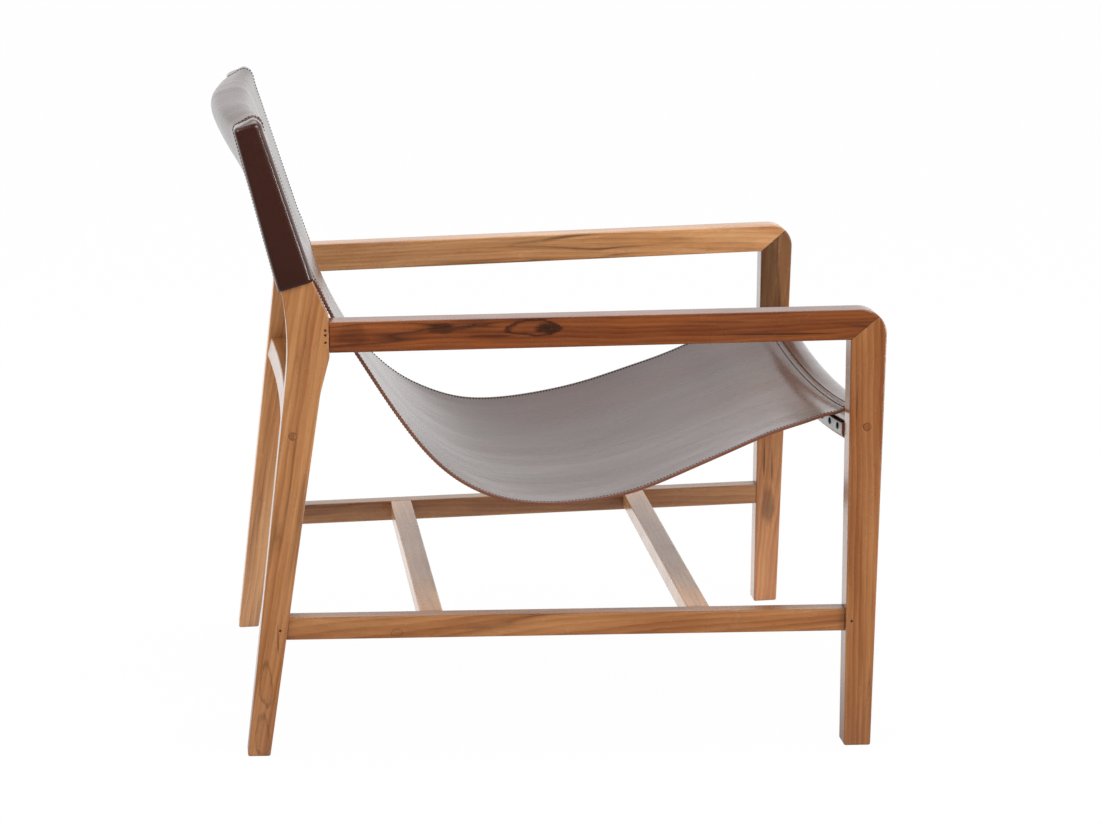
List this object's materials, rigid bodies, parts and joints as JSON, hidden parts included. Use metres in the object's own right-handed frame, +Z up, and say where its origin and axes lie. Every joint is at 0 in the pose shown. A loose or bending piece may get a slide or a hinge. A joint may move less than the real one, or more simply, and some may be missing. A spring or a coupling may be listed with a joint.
{
  "type": "sling lounge chair",
  "caption": "Low lounge chair: splayed wooden side frames with mitred arms, joined by stretchers and rails, with a leather sling hung from the back posts and wrapped over a dished front rail.",
  "frame": {"origin": "on the floor, under the centre of the chair's bounding box", "axes": "+Z up; the sitter faces -Y; +X is the sitter's left; the chair is symmetric across X = 0"},
  "size_m": [0.6738, 0.781, 0.7606],
  "materials": {
    "teak": "oiled satin, straight and cathedral grain",
    "leather": "dark brown full-grain saddle leather, waxed sheen, stitched edges",
    "steel": "plain machine screw",
    "dark_metal": "blackened steel"
  },
  "bodies": {
    "root": {"front_leg_left": "teak", "front_leg_right": "teak", "arm_left": "teak", "arm_right": "teak", "back_leg_left": "teak", "back_leg_right": "teak", "side_stretcher_left": "teak", "side_stretcher_right": "teak", "mitre_tongue_left": "teak", "mitre_tongue_right": "teak", "cross_stretcher_rear": "teak", "cross_stretcher_front": "teak", "back_rail": "teak", "front_rail": "teak", "back_rail_plug_left": "teak", "back_rail_plug_right": "teak", "front_rail_plug_left": "teak", "front_rail_plug_right": "teak", "back_rail_bolt_left": "steel", "back_rail_bolt_right": "steel", "front_rail_bolt_left": "steel", "front_rail_bolt_right": "steel", "arm_pin_1_left": "dark_metal", "arm_pin_1_right": "dark_metal", "arm_pin_2_left": "dark_metal", "arm_pin_2_right": "dark_metal", "arm_pin_3_left": "dark_metal", "arm_pin_3_right": "dark_metal", "stretcher_pin_rear_left": "dark_metal", "stretcher_pin_rear_right": "dark_metal", "stretcher_pin_front_left": "dark_metal", "stretcher_pin_front_right": "dark_metal", "nail_1": "dark_metal", "nail_2": "dark_metal", "nail_3": "dark_metal", "nail_4": "dark_metal", "nail_5": "dark_metal", "nail_6": "dark_metal", "nail_7": "dark_metal", "nail_8": "dark_metal", "nail_9": "dark_metal", "nail_10": "dark_metal", "nail_11": "dark_metal", "nail_12": "dark_metal", "sling": "leather", "back_flap": "leather", "sleeve_left": "leather", "sleeve_right": "leather"}
  },
  "joints": []
}
